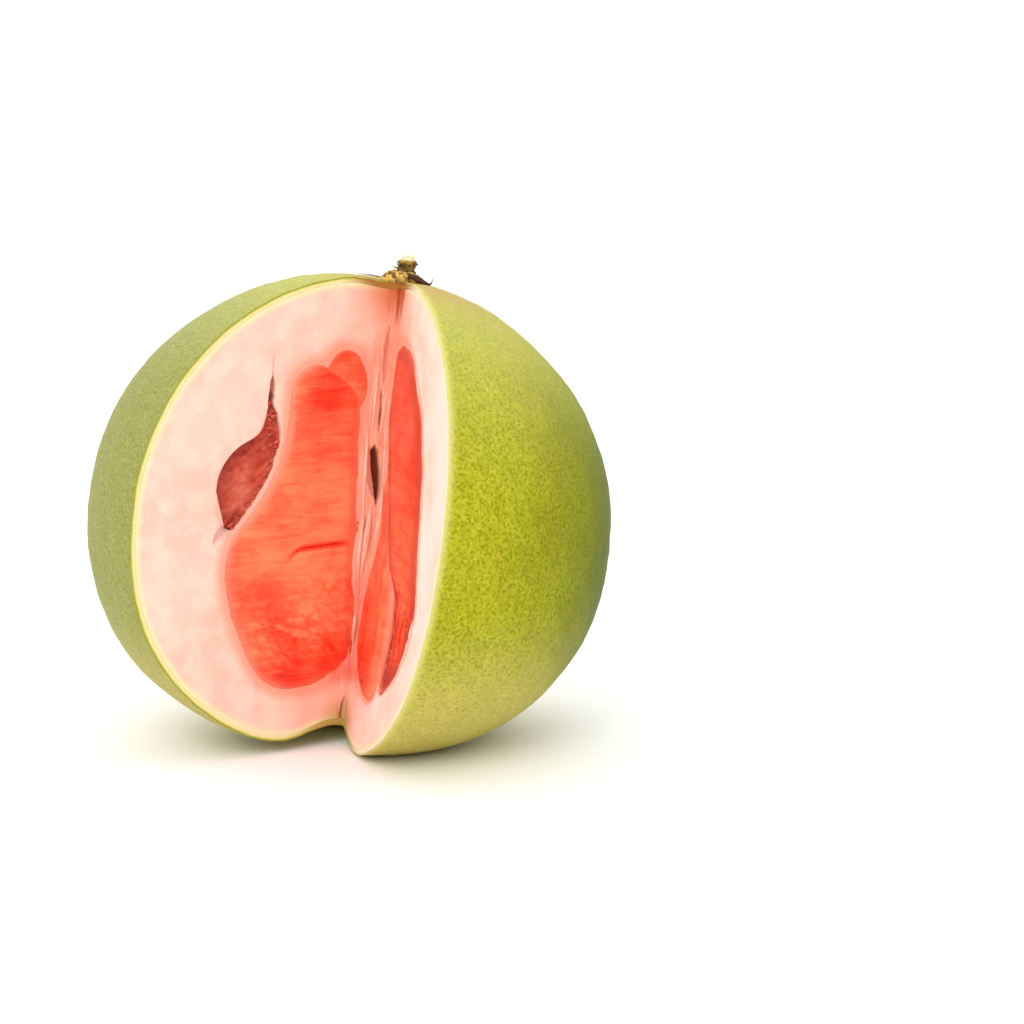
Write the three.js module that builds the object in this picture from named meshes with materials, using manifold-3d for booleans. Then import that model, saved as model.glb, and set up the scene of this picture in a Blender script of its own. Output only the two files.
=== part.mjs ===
// A large pink grapefruit of the pomelo kind, with one upright wedge cut out of its front.
// In the fruit's own frame +Z runs along the core, from the blossom end to the stem end,
// and the widest girth is at z = 0. The whole fruit leans a little to the right and back,
// and rests on a small flat spot.
import * as THREE from 'three';
import { mergeVertices } from 'three/addons/utils/BufferGeometryUtils.js';
import Module from 'manifold-3d';

const wasm = await Module();
wasm.setup();

// Driving dimensions, in millimetres and degrees
const girthRadius = 74;
const crown = { height: 70, roundness: 2, dimpleDepth: 2, dimpleWidth: 9 }; // stem end
const base = { height: 66, roundness: 2.25, dimpleDepth: 10, dimpleWidth: 14 }; // blossom end
const meridianSteps = 36;
const girthSteps = 72;

const lean = { right: 8, back: 4 }; // of the core, towards +X and +Y
const flatSpotDepth = 2.8; // height of the cap missing where the fruit sits

const knife = { x: 6, y: -2, leanBack: 2.3 }; // the line where the two cuts meet
const leftFace = { azimuth: -145, inward: 1 }; // azimuth of each cut face, from +X
const rightFace = { azimuth: -72.5, inward: -1 };
const wedgeReach = 120;

const pocketDepth = 6; // hollow between pith and flesh, left face
const creviceDepth = 4; // gap beside the flesh, low on the right face
const coreSlit = { side: 1.4, width: 1.6, bottom: 5, top: 19, depth: 3 };

const gap = 0.3; // clearance between touching pieces
const button = { x: 2, y: 5, radius: 6.2, lobes: 5, lobeDepth: 0.9, bottom: 66.5, top: 71 };
const stub = { x: 4.2, y: 5.6, height: 5.4, sides: 11, snapTilt: 24, snapHeight: 4.6 };
const sepal = { halfWidth: 1.3, halfThickness: 0.5, steps: 16 };

const radians = THREE.MathUtils.degToRad;

// Conversions between three.js geometry and solids that can be cut and joined

function solid(geometry) {
  const bare = geometry.clone();
  bare.deleteAttribute('normal');
  bare.deleteAttribute('uv');
  const merged = mergeVertices(bare);
  const mesh = new wasm.Mesh({
    numProp: 3,
    vertProperties: new Float32Array(merged.attributes.position.array),
    triVerts: new Uint32Array(merged.index.array),
  });
  return new wasm.Manifold(mesh);
}

function namedMesh(name, body, color, roughness) {
  const { vertProperties, triVerts } = body.getMesh();
  const geometry = new THREE.BufferGeometry();
  geometry.setAttribute('position', new THREE.BufferAttribute(vertProperties, 3));
  geometry.setIndex(new THREE.BufferAttribute(triVerts, 1));
  geometry.computeVertexNormals();
  const material = new THREE.MeshStandardMaterial({ color, roughness, metalness: 0 });
  const mesh = new THREE.Mesh(geometry, material);
  mesh.name = name;
  return mesh;
}

// Outside of the whole fruit

// From the blossom end up to the stem end, with a dimple at both
function meridian() {
  const points = [];
  for (let step = 0; step <= meridianSteps; step += 1) {
    const angle = Math.PI * (1 - step / meridianSteps); // 0 at the stem end
    const end = angle <= Math.PI / 2 ? crown : base;
    const share = Math.cos(angle);
    const radius = girthRadius * (1 - Math.abs(share) ** end.roundness) ** (1 / end.roundness);
    const dimple = end.dimpleDepth * Math.exp(-((radius / end.dimpleWidth) ** 2));
    const atPole = step === 0 || step === meridianSteps;
    points.push(new THREE.Vector2(atPole ? 0 : radius, end.height * share - Math.sign(share) * dimple));
  }
  return points;
}

function wholeFruit() {
  return solid(new THREE.LatheGeometry(meridian(), girthSteps).rotateX(Math.PI / 2));
}

// The cut and the hollows that it opens

const onKnife = new THREE.Matrix4()
  .makeTranslation(knife.x, knife.y, 0)
  .multiply(new THREE.Matrix4().makeRotationX(-radians(knife.leanBack)));

function faceDirection(face) {
  return new THREE.Vector3(Math.cos(radians(face.azimuth)), Math.sin(radians(face.azimuth)), 0);
}

function wedge() {
  const corners = [new THREE.Vector3(), leftFace, rightFace].map((corner) =>
    corner.azimuth ? faceDirection(corner).multiplyScalar(wedgeReach) : corner,
  );
  const triangle = new THREE.Shape(corners.map(({ x, y }) => new THREE.Vector2(x, y)));
  const prism = new THREE.ExtrudeGeometry(triangle, { depth: 2 * wedgeReach, bevelEnabled: false });
  return solid(prism.translate(0, 0, -wedgeReach).applyMatrix4(onKnife));
}

// A hollow in a cut face. Its outline holds distance from the knife line and height along it.
function hollow(outline, face, depth) {
  const lip = 0.2; // how far the cutter starts outside the face
  const block = new THREE.ExtrudeGeometry(outline, {
    depth: depth + lip,
    bevelEnabled: false,
    curveSegments: 3,
  });
  block.translate(0, 0, face.inward > 0 ? -lip : -depth);
  const across = faceDirection(face);
  const up = new THREE.Vector3(0, 0, 1);
  const facing = new THREE.Matrix4().makeBasis(across, up, across.clone().cross(up));
  return solid(block.applyMatrix4(facing).applyMatrix4(onKnife));
}

function roundedOutline(points) {
  const [first, ...rest] = points.map(([side, height]) => new THREE.Vector2(side, height));
  const outline = new THREE.Shape();
  outline.moveTo(first.x, first.y);
  outline.splineThru([...rest, first]);
  return outline;
}

// Where the flesh has pulled away from the pith: a crack at the top, then a wide pocket
function pulledPocket() {
  const outline = roundedOutline([
    [38, 37], [34.8, 27], [33.8, 17], [38, 5], [44, -4],
    [49, -8], [52, -3], [52.4, 4], [50, 12], [44, 19], [40, 29],
  ]);
  return hollow(outline, leftFace, pocketDepth);
}

function crevice() {
  const outline = roundedOutline([
    [25, -8], [31, -14], [35, -23], [36, -33], [33, -41], [30, -46], [28, -36], [26, -22],
  ]);
  return hollow(outline, rightFace, creviceDepth);
}

function openCore() {
  const { side, width, bottom, top, depth } = coreSlit;
  const middle = (bottom + top) / 2;
  const outline = roundedOutline([
    [side, bottom], [side + width / 2, middle], [side, top], [side - width / 2, middle],
  ]);
  return hollow(outline, leftFace, depth);
}

// Pieces

const leaning = new THREE.Matrix4().makeRotationFromEuler(
  new THREE.Euler(-radians(lean.back), radians(lean.right), 0),
);

// Height of the lowest point of the leaning fruit, relative to the middle of its core
function lowestPoint(fruit) {
  const { vertProperties } = fruit.getMesh();
  const points = new THREE.BufferAttribute(vertProperties, 3).applyMatrix4(leaning);
  return new THREE.Box3().setFromBufferAttribute(points).min.z;
}

function restingSlab(top) {
  const slab = new THREE.BoxGeometry(4 * girthRadius, 4 * girthRadius, 2 * girthRadius);
  slab.translate(0, 0, top - girthRadius);
  return solid(slab.applyMatrix4(leaning.clone().invert()));
}

const skin = wholeFruit();
const cut = wedge();
const floorHeight = lowestPoint(skin) + flatSpotDepth;

function fruit() {
  let body = skin.subtract(cut);
  for (const hole of [pulledPocket(), crevice(), openCore(), restingSlab(floorHeight)]) {
    body = body.subtract(hole);
  }
  return namedMesh('fruit', body, 0xb5bc30, 0.45);
}

// Lobed button that the knife has trimmed at the front, with one dried sepal curling up beside it
function calyx() {
  const outline = new THREE.Shape();
  const steps = 12 * button.lobes;
  for (let step = 0; step < steps; step += 1) {
    const angle = (2 * Math.PI * step) / steps;
    const radius = button.radius + button.lobeDepth * Math.cos(button.lobes * angle);
    const spot = [radius * Math.cos(angle), radius * Math.sin(angle)];
    if (step === 0) outline.moveTo(...spot);
    else outline.lineTo(...spot);
  }
  const bevel = 0.7;
  const disc = new THREE.ExtrudeGeometry(outline, {
    depth: button.top - button.bottom - 2 * bevel,
    bevelThickness: bevel,
    bevelSize: bevel,
    bevelSegments: 2,
  });
  disc.translate(button.x, button.y, button.bottom + bevel);

  const curl = new THREE.CatmullRomCurve3([
    new THREE.Vector3(button.x + 3.5, button.y, 69.9),
    new THREE.Vector3(10.5, 4.6, 70),
    new THREE.Vector3(13.6, 4.3, 70.2),
    new THREE.Vector3(15.2, 4.2, 71.8),
    new THREE.Vector3(15.6, 4.1, 75.4),
  ]);
  const section = new THREE.Shape();
  section.absellipse(0, 0, sepal.halfThickness, sepal.halfWidth, 0, 2 * Math.PI);
  const blade = new THREE.ExtrudeGeometry(section, {
    steps: sepal.steps,
    extrudePath: curl,
    curveSegments: 4,
    bevelEnabled: false,
  });

  const body = solid(disc).add(solid(blade)).subtract(skin.translate([0, 0, gap])).subtract(cut);
  return namedMesh('calyx', body, 0xa8852e, 0.8);
}

// Knobbly end of the stalk, snapped off at a slant
function stemStub() {
  const profile = [[0, 0], [3.3, 0], [2.9, 1.1], [3.6, 2.6], [3.9, 3.8], [2.9, stub.height], [0, stub.height]];
  const knob = new THREE.LatheGeometry(profile.map(([r, z]) => new THREE.Vector2(r, z)), stub.sides);
  knob.rotateX(Math.PI / 2);
  const snap = new THREE.BoxGeometry(4 * stub.height, 4 * stub.height, 2 * stub.height);
  snap.translate(0, 0, stub.height).rotateY(radians(stub.snapTilt)).translate(0, 0, stub.snapHeight);
  const body = solid(knob).subtract(solid(snap)).translate([stub.x, stub.y, button.top + gap]);
  return namedMesh('stem_stub', body, 0x6e5026, 0.85);
}

const fruitOnItsSpot = new THREE.Group();
fruitOnItsSpot.add(fruit(), calyx(), stemStub());
fruitOnItsSpot.applyMatrix4(leaning);

// The origin is under the middle of the whole shape, on the surface that it rests on
const extent = new THREE.Box3().setFromObject(fruitOnItsSpot, true);
const middle = extent.getCenter(new THREE.Vector3());
fruitOnItsSpot.position.set(-middle.x, -middle.y, -floorHeight);

const grapefruit = new THREE.Group();
grapefruit.add(fruitOnItsSpot);

export default grapefruit;
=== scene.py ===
import math
import random
import bmesh
import bpy
import numpy
from mathutils import Matrix, Vector, noise
from mathutils.kdtree import KDTree


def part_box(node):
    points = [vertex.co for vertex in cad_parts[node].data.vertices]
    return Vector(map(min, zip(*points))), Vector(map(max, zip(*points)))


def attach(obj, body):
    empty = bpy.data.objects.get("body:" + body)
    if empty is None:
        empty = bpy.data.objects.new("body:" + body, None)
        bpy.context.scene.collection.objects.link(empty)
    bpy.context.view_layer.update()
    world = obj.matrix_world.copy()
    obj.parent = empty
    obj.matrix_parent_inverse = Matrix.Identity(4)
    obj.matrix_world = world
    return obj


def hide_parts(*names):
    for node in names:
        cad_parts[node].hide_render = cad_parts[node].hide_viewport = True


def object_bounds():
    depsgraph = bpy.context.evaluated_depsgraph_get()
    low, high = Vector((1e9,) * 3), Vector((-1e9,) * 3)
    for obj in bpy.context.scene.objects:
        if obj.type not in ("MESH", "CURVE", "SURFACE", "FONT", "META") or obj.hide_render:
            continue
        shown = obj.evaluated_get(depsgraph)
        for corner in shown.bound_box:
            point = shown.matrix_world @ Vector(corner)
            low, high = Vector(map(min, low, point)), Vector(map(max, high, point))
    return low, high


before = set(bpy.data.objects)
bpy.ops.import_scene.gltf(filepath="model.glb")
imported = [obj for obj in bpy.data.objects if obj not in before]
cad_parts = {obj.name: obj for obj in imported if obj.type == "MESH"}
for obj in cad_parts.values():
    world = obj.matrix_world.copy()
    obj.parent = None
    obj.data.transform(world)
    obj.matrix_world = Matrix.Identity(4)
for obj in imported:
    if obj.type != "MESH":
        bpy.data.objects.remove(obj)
cadLow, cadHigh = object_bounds()
print("frame loaded")


def linearColour(hexColour):  # "#rrggbb" in sRGB to linear RGBA
    channels = [int(hexColour[i:i + 2], 16) / 255 for i in (1, 3, 5)]
    linear = [c / 12.92 if c <= 0.04045 else ((c + 0.055) / 1.055) ** 2.4 for c in channels]
    return (*linear, 1.0)


def smoothStep(low, high, value):
    share = min(1.0, max(0.0, (value - low) / (high - low)))
    return share * share * (3 - 2 * share)


def smoothRow(rows, share):  # a point on the smooth curve through the rows, share 0 to 1
    place = share * (len(rows) - 1)
    first = min(int(place), len(rows) - 2)
    t = place - first
    near = [rows[min(max(first + step, 0), len(rows) - 1)] for step in (-1, 0, 1, 2)]
    return [0.5 * (2 * b + (c - a) * t + (2 * a - 5 * b + 4 * c - d) * t * t
                   + (3 * b - a - 3 * c + d) * t ** 3)
            for a, b, c, d in zip(*near)]


def waves(x, y, z=0.0, octaves=3):  # soft noise around 0
    return noise.fractal(Vector((x, y, z)), 1.0, 2.0, octaves)


def addNode(tree, kind, settings=None, inputs=None):
    node = tree.nodes.new(kind)
    for name, value in (settings or {}).items():
        if name == "stops":
            ramp = node.color_ramp
            while len(ramp.elements) < len(value):
                ramp.elements.new(0.5)
            for element, (position, colour) in zip(ramp.elements, value):
                element.position = position
                element.color = linearColour(colour)
        else:
            setattr(node, name, value)
    for name, value in (inputs or {}).items():
        socket = node.inputs[name]
        if isinstance(value, bpy.types.NodeSocket):
            tree.links.new(value, socket)
        else:
            socket.default_value = value
    return node


def newMaterial(name):
    material = bpy.data.materials.new(name)
    material.use_nodes = True
    material.node_tree.nodes.clear()
    return material, material.node_tree


def finishMaterial(tree, shaderInputs):
    shader = addNode(tree, "ShaderNodeBsdfPrincipled", inputs=shaderInputs)
    addNode(tree, "ShaderNodeOutputMaterial", inputs={"Surface": shader.outputs["BSDF"]})


# The whole fruit's shape, in millimetres and degrees
fruitShape = {
    "girthRadius": 74, "crownHeight": 70, "baseHeight": 66, "crownRoundness": 2, "baseRoundness": 2.25,
    "stemDimple": (2, 9), "blossomDimple": (10, 14),  # depth and width
    "leanRight": 8, "leanBack": 4, "flatSpot": 2.8,
    "knifeSpot": (6, -2, 0), "knifeLean": 2.3, "leftFace": -145, "rightFace": -72.5,
    "knifeTop": 69, "knifeFoot": -57,  # where the knife line leaves the fruit
    "stray": 1.3, "strayHeight": 4, "straySpans": (15, 9),  # the knife's stray, with its spans up and out
    "rindThickness": 1.7,
}
profileSteps = 720
polarSteps = 1440


def meridianPoint(angle):  # distance from the core and height, angle 0 at the stem end
    share = math.cos(angle)
    upper = share > 0
    height = fruitShape["crownHeight" if upper else "baseHeight"]
    power = fruitShape["crownRoundness" if upper else "baseRoundness"]
    depth, width = fruitShape["stemDimple" if upper else "blossomDimple"]
    radius = fruitShape["girthRadius"] * (1 - abs(share) ** power) ** (1 / power)
    return radius, height * share - math.copysign(depth, share) * math.exp(-(radius / width) ** 2)


meridian = [meridianPoint(math.pi * step / profileSteps) for step in range(profileSteps + 1)]
meridianAngles = [math.atan2(radius, height) for radius, height in meridian]
meridianReach = [math.hypot(radius, height) for radius, height in meridian]
polarReach = numpy.interp([math.pi * step / polarSteps for step in range(polarSteps + 1)],
                          meridianAngles, meridianReach).tolist()

leaning = (Matrix.Rotation(math.radians(-fruitShape["leanBack"]), 4, "X")
           @ Matrix.Rotation(math.radians(fruitShape["leanRight"]), 4, "Y"))


def farthest(direction):  # how far the whole leaning fruit reaches along a direction, from its middle
    x, y, z = leaning.to_3x3().inverted() @ Vector(direction)
    return max(radius * math.hypot(x, y) + height * z for radius, height in meridian)


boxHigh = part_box("fruit")[1]
fruitMiddle = Vector((boxHigh.x * 1000 - farthest((1, 0, 0)),
                      boxHigh.y * 1000 - farthest((0, 1, 0)),
                      farthest((0, 0, -1)) - fruitShape["flatSpot"]))

# The knife frame has its Z along the line where the two cuts meet, and both cut faces pass through it
knifeInFruit = (Matrix.Translation(fruitShape["knifeSpot"])
                @ Matrix.Rotation(math.radians(-fruitShape["knifeLean"]), 4, "X"))
knifeToPlace = Matrix.Scale(0.001, 4) @ Matrix.Translation(fruitMiddle) @ leaning @ knifeInFruit


def underSkin(direction, depth=0.0):  # in the knife frame, the point that deep along a ray from its middle
    start = knifeInFruit.translation
    ray = knifeInFruit.to_3x3() @ direction
    reach = fruitShape["girthRadius"]
    for _ in range(5):
        spot = start + ray * reach
        polar = math.atan2(math.hypot(spot.x, spot.y), spot.z) / math.pi * polarSteps
        first = min(int(polar), polarSteps - 1)
        skin = polarReach[first] + (polarReach[first + 1] - polarReach[first]) * (polar - first)
        reach += skin - spot.length
    return direction * (reach - depth)


class cutFace:  # places on one cut face: side from the knife line, height along it, rise out of the face
    def __init__(self, azimuth, outward):
        angle = math.radians(azimuth)
        self.azimuth = azimuth
        self.across = Vector((math.cos(angle), math.sin(angle), 0))
        self.out = Vector((-math.sin(angle), math.cos(angle), 0)) * outward

    def spot(self, side, height, rise=0.0):
        return self.across * side + Vector((0, 0, height)) + self.out * rise

    def read(self, place):
        return place.dot(self.across), place.z, place.dot(self.out)


leftFace = cutFace(fruitShape["leftFace"], 1)
rightFace = cutFace(fruitShape["rightFace"], -1)
skinTurn = 360 + leftFace.azimuth - rightFace.azimuth  # degrees of skin that the wedge left


def strayKnife(place):  # the knife strayed a little half way down
    upSpan, outSpan = fruitShape["straySpans"]
    up = (place.z - fruitShape["strayHeight"]) / upSpan
    aside = fruitShape["stray"] * math.exp(-up ** 2 - (place.xy.length / outSpan) ** 2)
    return place + Vector((aside, 0, 0))


def growRings(bm, loop, count, place):  # extrudes a ring again and again, and place() moves each new vertex
    for ring in range(1, count + 1):
        grown = bmesh.ops.extrude_edge_only(bm, edges=loop)["geom"]
        for vertex in [part for part in grown if isinstance(part, bmesh.types.BMVert)]:
            vertex.co = place(vertex, ring / count)
        loop = [part for part in grown if isinstance(part, bmesh.types.BMEdge)]
    return loop


def finishPiece(bm, name, node, material, toPlace=None):
    bmesh.ops.recalc_face_normals(bm, faces=bm.faces)
    if toPlace is None:
        for vertex in bm.verts:
            vertex.co = strayKnife(vertex.co)
    bmesh.ops.transform(bm, matrix=toPlace or knifeToPlace, verts=bm.verts)
    for vertex in bm.verts:
        vertex.co.z = max(vertex.co.z, 0.0)  # pressed flat where the fruit sits
    mesh = bpy.data.meshes.new(name)
    bm.to_mesh(mesh)
    bm.free()
    mesh.materials.append(material)
    mesh.shade_smooth()
    piece = bpy.data.objects.new(name, mesh)
    bpy.context.scene.collection.objects.link(piece)
    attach(piece, "root")
    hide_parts(node)
    print(name, len(mesh.polygons), "faces")


def lobeOutline(face, rows, samples=160):  # points round the edge of a lobe, on the cut face
    edge = []
    for step in range(samples + 1):
        height, inner, outer = smoothRow(rows, step / samples)
        edge += [face.spot(inner, height), face.spot(outer, height)]
    return edge


def nearestIn(points):
    tree = KDTree(len(points))
    for index, point in enumerate(points):
        tree.insert(point, index)
    tree.balance()
    return tree


def spotShare(spots, side, height):  # soft round spots, each with side, height, radius and strength
    return sum(strength * math.exp(-((side - x) ** 2 + (height - y) ** 2) / radius ** 2)
               for x, y, radius, strength in spots)


def juiceRun(side, height):  # how much juice stains the low seam beside the knife line
    return smoothStep(10, 6, side) * smoothStep(-9, -20, height) * smoothStep(-49, -41, height)


# A lobe of pulp that stands a little out of a cut face. Each row holds height, inner side and outer side.
def pulpLobe(lobe):
    face, rows, rounding = lobe["face"], lobe["rows"], lobe["rounding"]
    edge = nearestIn(lobeOutline(face, rows, 400))
    bm = bmesh.new()
    bmesh.ops.create_uvsphere(bm, u_segments=2 * lobe["across"], v_segments=lobe["along"], radius=1)
    juice, darkEdge, paleEdge = [
        bm.verts.layers.float.new(name) for name in ("juice", "darkEdge", "paleEdge")]
    for vertex in bm.verts:
        share = math.acos(max(-1.0, min(1.0, vertex.co.z))) / math.pi
        turn = math.atan2(vertex.co.y, vertex.co.x)
        height, inner, outer = smoothRow(rows, share)
        across = 1 - 2 * abs(turn) / math.pi
        side = (inner + outer) / 2 + across * (outer - inner) / 2
        distance = edge.find(face.spot(side, height))[2]
        dark, pale, soft = lobe["edging"](height, side - inner, distance)
        bloom = pulpLook["bloom"] * smoothStep(pulpLook["softEdge"], 0.2, distance)
        bloom *= 1 - pulpLook["stain"] * juiceRun(side - 2, height)
        pale = max(pale, (1 - dark) * bloom)
        arch = math.sqrt(1 - (1 - min(1.0, distance / rounding)) ** 2)
        arch += (smoothStep(0, 1.4 * rounding, distance) - arch) * soft
        sink = lobe["sink"] * (1 - 0.7 * soft)
        if turn >= 0:
            relief, fold = lobe["relief"](side, height)
            rise = -sink + (lobe["rise"] + sink) * arch + relief * min(1.0, distance / rounding)
            vertex[juice] = lobe["juice"] + spotShare(lobe["spots"], side, height) + fold
        else:
            rise = -lobe["sink"] - 2 * arch
        vertex.co = face.spot(side, height, rise)
        vertex[darkEdge] = dark * smoothStep(lobe["outline"], 0.3 * lobe["outline"], distance)
        vertex[paleEdge] = pale
    bmesh.ops.remove_doubles(bm, verts=bm.verts, dist=1e-4)
    return bm


rindLook = {
    "turnSteps": 320, "meridianSteps": 240, "rimSteps": 5, "liningSteps": 14,
    "relief": [(16, 0.3), (4.5, 0.12), (2.2, 0.05)],  # mm: span and height of the lumps, coarse to fine
    "grain": 0.85, "glandSpacing": 1.9,  # mm across the skin's fine relief, and between its deeper oil glands
    "paleBeside": (2.6, -1),  # mm from the right cut over which the skin pales
    "whiteRim": (0.45, 0.4),  # how white that cut's rim is at the skin, and how much more at the pith
    "shadeReach": (46, 100), "shadeUneven": 50,  # mm over which the painted shade, a deep green on the right side, fades, and its wander
    "shadeHeight": 0.4,  # share of the fruit's height
    "crownAside": 10,  # mm from the stem to the middle of the paler crown, a painted sheen
    "yellow": "#aca81e", "green": "#9aa01a", "sheenAndShade": "#949658", "shadeGreen": "#4a5a00", "golden": "#ba9c58",
    # low is painted light: the lower skin paler and creamier, as if lit by light bounced up from the floor
    "low": "#dcc878", "pale": "#dcd88c", "pit": "#80800a", "crest": "#d0c850",
    "edgeLine": "#989a3c", "edgeBand": "#dcd47c", "edgePale": "#f6e6b8", "edgeWhite": "#f8f0d6",
    "dryEdge": "#a4682a", "tanEdge": "#b49650",
}


def skinSector(turnSteps, meridianSteps):  # directions from the knife line over the skin that the wedge left
    bm = bmesh.new()
    start = rightFace.across
    profile = []
    for step in range(meridianSteps + 1):
        angle = math.pi * step / meridianSteps
        profile.append(bm.verts.new(start * math.sin(angle) + Vector((0, 0, math.cos(angle)))))
    edges = [bm.edges.new(pair) for pair in zip(profile, profile[1:])]
    bmesh.ops.spin(bm, geom=profile + edges, cent=(0, 0, 0), axis=(0, 0, 1), steps=turnSteps,
                   angle=math.radians(skinTurn))
    bmesh.ops.remove_doubles(bm, verts=bm.verts, dist=1e-5)
    return bm


def makeRind(material):
    bm = skinSector(rindLook["turnSteps"], rindLook["meridianSteps"])
    depthLayer, whiteLayer, paleLayer = [bm.verts.layers.float.new(name)
                                         for name in ("rindDepth", "whiteRim", "besideCut")]
    middle = math.radians(rightFace.azimuth + skinTurn / 2)
    whiteAtSkin, moreAtPith = rindLook["whiteRim"]

    def throughRim(vertex, share):
        vertex[depthLayer] = share
        return vertex.co

    def overLining(vertex, share):  # from both cut rims the lining closes at the back
        reach = vertex.co.xy.length
        if reach < 1e-6:
            return vertex.co
        aside = (math.atan2(vertex.co.y, vertex.co.x) - middle + math.pi) % (2 * math.pi) - math.pi
        turn = middle + math.copysign(math.radians(skinTurn / 2) * (1 - share), aside)
        return Vector((reach * math.cos(turn), reach * math.sin(turn), vertex.co.z))

    rim = [edge for edge in bm.edges if edge.is_boundary]
    rim = growRings(bm, rim, rindLook["rimSteps"], throughRim)
    growRings(bm, rim, rindLook["liningSteps"], overLining)
    for vertex in bm.verts:
        direction = vertex.co.normalized()
        depth = vertex[depthLayer]
        spot = underSkin(direction, fruitShape["rindThickness"] * depth)
        relief = 0
        if depth < 1:
            relief = sum(height * waves(*(spot / span)) for span, height in rindLook["relief"])
        vertex.co = spot + direction * relief * (1 - depth)
        side, _, rise = rightFace.read(spot)
        fromCut = abs(rise) if side > 0 else spot.length
        vertex[whiteLayer] = whiteAtSkin + moreAtPith * depth if fromCut < 0.1 else 0.0
        vertex[paleLayer] = smoothStep(*rindLook["paleBeside"], fromCut)
    bmesh.ops.remove_doubles(bm, verts=bm.verts, dist=1e-4)
    finishPiece(bm, "green_rind", "fruit", material)


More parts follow.
